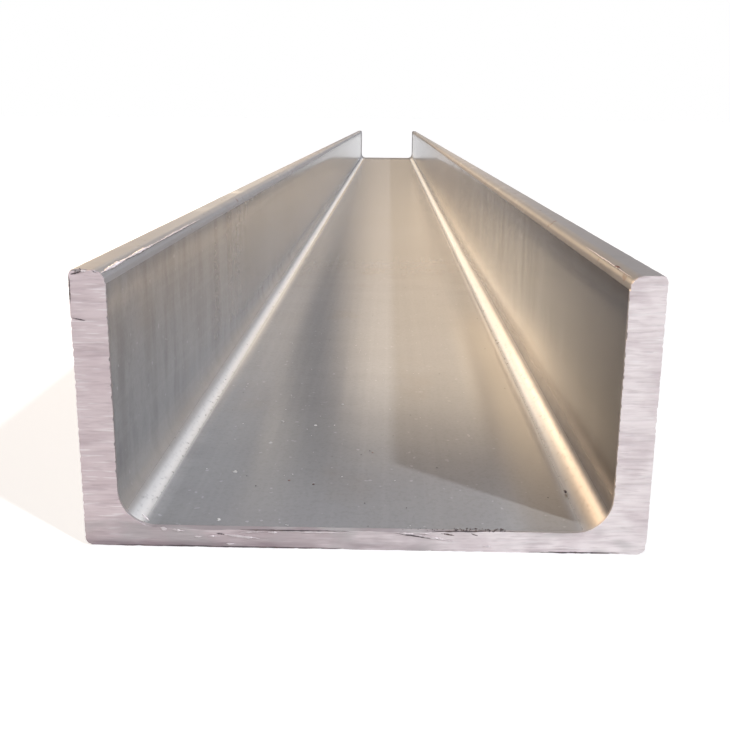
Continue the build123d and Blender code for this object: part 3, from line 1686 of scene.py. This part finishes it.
    def camera(self) -> None:
        """The camera at the photograph's place, turn, tilt and roll."""
        turn, tilt, roll = -self.turned_left, self.tilted_down, self.rolled
        ahead = Vector(
            (math.sin(turn) * math.cos(tilt), math.cos(turn) * math.cos(tilt), -math.sin(tilt))
        )
        level = Vector((math.cos(turn), -math.sin(turn), 0.0))
        upright = level.cross(ahead)
        right = level * math.cos(roll) + upright * math.sin(roll)
        top = upright * math.cos(roll) - level * math.sin(roll)
        lens = bpy.data.cameras.new("camera")
        lens.lens = self.lens
        lens.sensor_width = self.sensor
        lens.clip_start = 0.01
        lens.clip_end = 200.0
        stand = bpy.data.objects.new("camera", lens)
        turned = Matrix((right, top, -ahead)).transposed().to_4x4()
        place = Vector(self.camera_place) + Vector((0, self.near_end, 0))
        stand.matrix_world = Matrix.Translation(place) @ turned
        bpy.context.scene.collection.objects.link(stand)
        bpy.context.scene.camera = stand

    def build(self) -> None:
        """Sets up the whole studio."""
        bpy.context.scene.view_settings.view_transform = "Standard"
        self.floor()
        self.sky()
        self.sun()
        self.side_light()
        self.camera()


# Slivers that the saw tore up on the near face and its rim
TORN_SLIVERS = (
    Sliver((-59.4, 0.3, 9.4), (-57.4, 0.3, 7.4), 0.36),
    Sliver((-54.6, 0.28, 5.4), (-52.8, 0.28, 5.0), 0.5),
    Sliver((-51.6, 0.28, 5.0), (-48.0, 0.28, 4.6), 0.36),
    Sliver((-45.6, 0.25, 3.3), (-43.6, 0.25, 3.0), 0.36),
    Sliver((-41.8, 0.25, 3.3), (-38.6, 0.25, 3.3), 0.3),
    Sliver((-37.8, 0.25, 3.9), (-28.0, 0.25, 2.9), 0.42),
    Sliver((-37.0, 0.25, 1.2), (-34.2, 0.25, 1.1), 0.26),
    Sliver((-33.6, 0.25, 4.6), (-26.0, 0.25, 4.8), 0.26),
    Sliver((-25.8, 0.3, 4.7), (-23.2, 0.3, 4.6), 0.44),
    Sliver((-21.0, 0.3, 4.9), (-4.6, 0.3, 4.9), 0.26),
    Sliver((9.6, 0.3, 5.1), (13.4, 0.28, 4.9), 0.3),
    Sliver((12.8, 0.28, 4.7), (24.2, 0.25, 3.0), 0.34),
    Sliver((14.4, 0.28, 5.1), (17.6, 0.25, 5.0), 0.2),
    Sliver((31.6, 0.25, 1.9), (34.0, 0.25, 1.7), 0.44),
    Sliver((46.5, 0.3, 5.6), (50.0, 0.3, 5.7), 0.18),
    Sliver((-72.4, 0.7, 74.2), (-69.8, 0.6, 74.5), 0.34),
)
# Strings of loose scale along the rim, and dark strings of painted shade along the lower edge
SCALE_AND_SHADE_STRINGS = (
    Sliver((-74.6, 0.3, 62.4), (-71.2, 0.3, 61.7), 0.18),
    Sliver((-74.4, 0.5, 73.5), (-71.6, 0.6, 74.3), 0.3),
    Sliver((-74.7, 0.3, 73.0), (-74.8, 0.3, 66.0), 0.22),
    Sliver((18.0, 0.5, 5.7), (40.0, 0.5, 5.95), 0.22),
    Sliver((20.5, 0.3, 5.2), (24.0, 0.3, 4.7), 0.28),
    Sliver((28.5, 0.3, 5.3), (30.2, 0.3, 4.7), 0.3),
    Sliver((8.0, 0.3, 5.0), (20.0, 0.3, 3.4), 0.14),
    Sliver((-39.5, 0.3, 4.1), (-37.0, 0.3, 3.8), 0.22),
    Sliver((-33.0, 0.4, 5.3), (-4.0, 0.4, 5.3), 0.14),
    # Painted shade: these two dark strings stand in for the shade along the lower edge
    Sliver((-70.0, 0.3, 0.4), (-6.0, 0.3, 0.3), 0.2),
    Sliver((44.0, 0.3, 0.3), (68.0, 0.3, 0.4), 0.22),
)
# Raised lips that the rolls left along the inner edges of the flanges' tips; their bright steel is also a
# painted highlight on those edges
TOE_LIPS = (
    Sliver((-66.7, 0.8, 73.9), (-66.4, 26.0, 74.1), 0.56),
    Sliver((-66.5, 18.0, 74.1), (-66.2, 60.0, 74.2), 0.44),
    Sliver((-66.4, 50.0, 74.1), (-66.1, 130.0, 74.2), 0.3),
    Sliver((66.4, 3.0, 74.0), (66.2, 60.0, 74.2), 0.2),
)
# Grains of scale on the web's near edge, the left toe and the web
SCALE_GRAINS = (
    Patch((24.0, 0.3, 5.9), (38.0, 2.2, 6.1), 60, 0.2),
    Patch((10.0, 0.3, 5.9), (24.0, 1.6, 6.1), 14, 0.12),
    Patch((-73.5, 0.4, 74.2), (-69.5, 2.2, 74.8), 12, 0.22),
    Patch((-16.1, 32.2, 6.0), (-15.7, 32.6, 6.05), 2, 0.35),
    Patch((57.8, 27.0, 7.0), (58.4, 28.0, 7.0), 3, 0.4),
    Patch((-55.0, 2.0, 6.0), (55.0, 400.0, 6.05), 60, 0.16),
)
# Pale flecks on the web: seven larger ones with X, distance from the near end and radius, and fine ones
PALE_FLECKS = tuple(
    Patch((x - 0.3, y - 0.4, 5.95), (x + 0.3, y + 0.4, 6.05), 3, radius)
    for x, y, radius in (
        (-31.7, 93.6, 0.55),
        (-32.9, 70.2, 0.4),
        (-40.8, 42.2, 0.45),
        (-39.5, 5.1, 0.3),
        (-20.8, 2.3, 0.25),
        (-11.1, 116.1, 0.4),
        (-19.5, 89.6, 0.35),
    )
) + (Patch((-52.0, 3.0, 5.98), (20.0, 260.0, 6.05), 50, 0.14),)
# Rust specks on the web and the right toe
RUST_SPECKS = (
    Patch((-23.6, 35.0, 6.0), (-23.2, 35.6, 6.05), 3, 0.22),
    Patch((1.0, 61.5, 6.0), (1.4, 62.1, 6.05), 2, 0.2),
    Patch((65.9, 16.5, 74.2), (66.7, 19.5, 74.5), 6, 0.3),
)
# Dips where the web's near edge is worn down: X of the middle, depth and reach along X, in millimetres
WORN_WEB_EDGE = ((-42, 1.1, 22), (-18, 1.0, 20), (10, 0.9, 24))


@dataclass
class ChannelBeam:
    """The whole beam: its rolled length and its two sawn ends."""

    section: RolledSection
    end_run: float = 1.3 * MM  # how much of the length each sawn end's piece takes

    def build(self) -> None:
        """Makes all pieces and reports each one."""
        surface = MillSurface()
        rolled = rolled_steel(self.section).material()
        sawn = sawn_steel().material()
        toe_corner = Knock(
            place=(-self.section.depth / 2 + 2.5 * MM, self.section.flange_width),
            move=(0.0, 0.6 * MM, -0.9 * MM),
            reach=(3.2 * MM, 3.2 * MM),
        )
        web_edges = tuple(
            Knock(
                place=(x * MM, self.section.web),
                move=(0.0, 0.1 * MM, -depth * MM),
                reach=(reach * MM, 2.6 * MM),
            )
            for x, depth, reach in WORN_WEB_EDGE
        )
        pieces = [RolledLength(self.section, surface, self.end_run).build(rolled)]
        for end, knocks in ((End.NEAR, (toe_corner, *web_edges)), (End.FAR, ())):
            cut = SawnEnd(self.section, surface, end, self.end_run, knocks=knocks)
            pieces.append(cut.build(sawn))
        pieces += self.build_marks()
        for piece in pieces:
            LOG.info("%s: %d faces", piece.name, len(piece.data.polygons))

    def build_marks(self) -> list[bpy.types.Object]:
        """Makes the slivers, lips, strings and grains near the end that was sawn last."""
        near_end = -self.section.length / 2
        # The flaked scale also colours the dark strings of painted shade along the lower edge
        scale = flaked_scale_and_shade().material()
        slivers = RaisedStrings("torn_slivers", TORN_SLIVERS, near_end, seed=1.0)
        strings = RaisedStrings("scale_strings", SCALE_AND_SHADE_STRINGS, near_end, lump_size=0.6 * MM, seed=2.0)
        lips = RaisedStrings("toe_lips", TOE_LIPS, near_end, points=160, sway=0.5 * MM, seed=3.0)
        # Bright steel for the torn slivers, and for the toe lips, where it is a painted highlight
        torn_and_highlight = torn_steel_and_highlight().material()
        return [
            slivers.build(torn_and_highlight, Slot.SAWN),
            lips.build(torn_and_highlight, Slot.ROLLED),
            strings.build(scale, Slot.ROLLED),
            LooseGrains("scale_grains", SCALE_GRAINS, near_end, flat=0.6, seed=4).build(scale),
            LooseGrains("pale_flecks", PALE_FLECKS, near_end, seed=5).build(pale_dust().material()),
            LooseGrains("rust_specks", RUST_SPECKS, near_end, seed=6).build(red_rust().material()),
        ]


def main() -> None:
    """Builds the beam's pieces and the studio."""
    logging.basicConfig(level=logging.INFO, format="%(name)s: %(message)s")
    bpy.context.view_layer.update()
    section = RolledSection.from_frame()
    ChannelBeam(section).build()
    Studio(near_end=-section.length / 2).build()


if __name__ == "__main__":
    main()
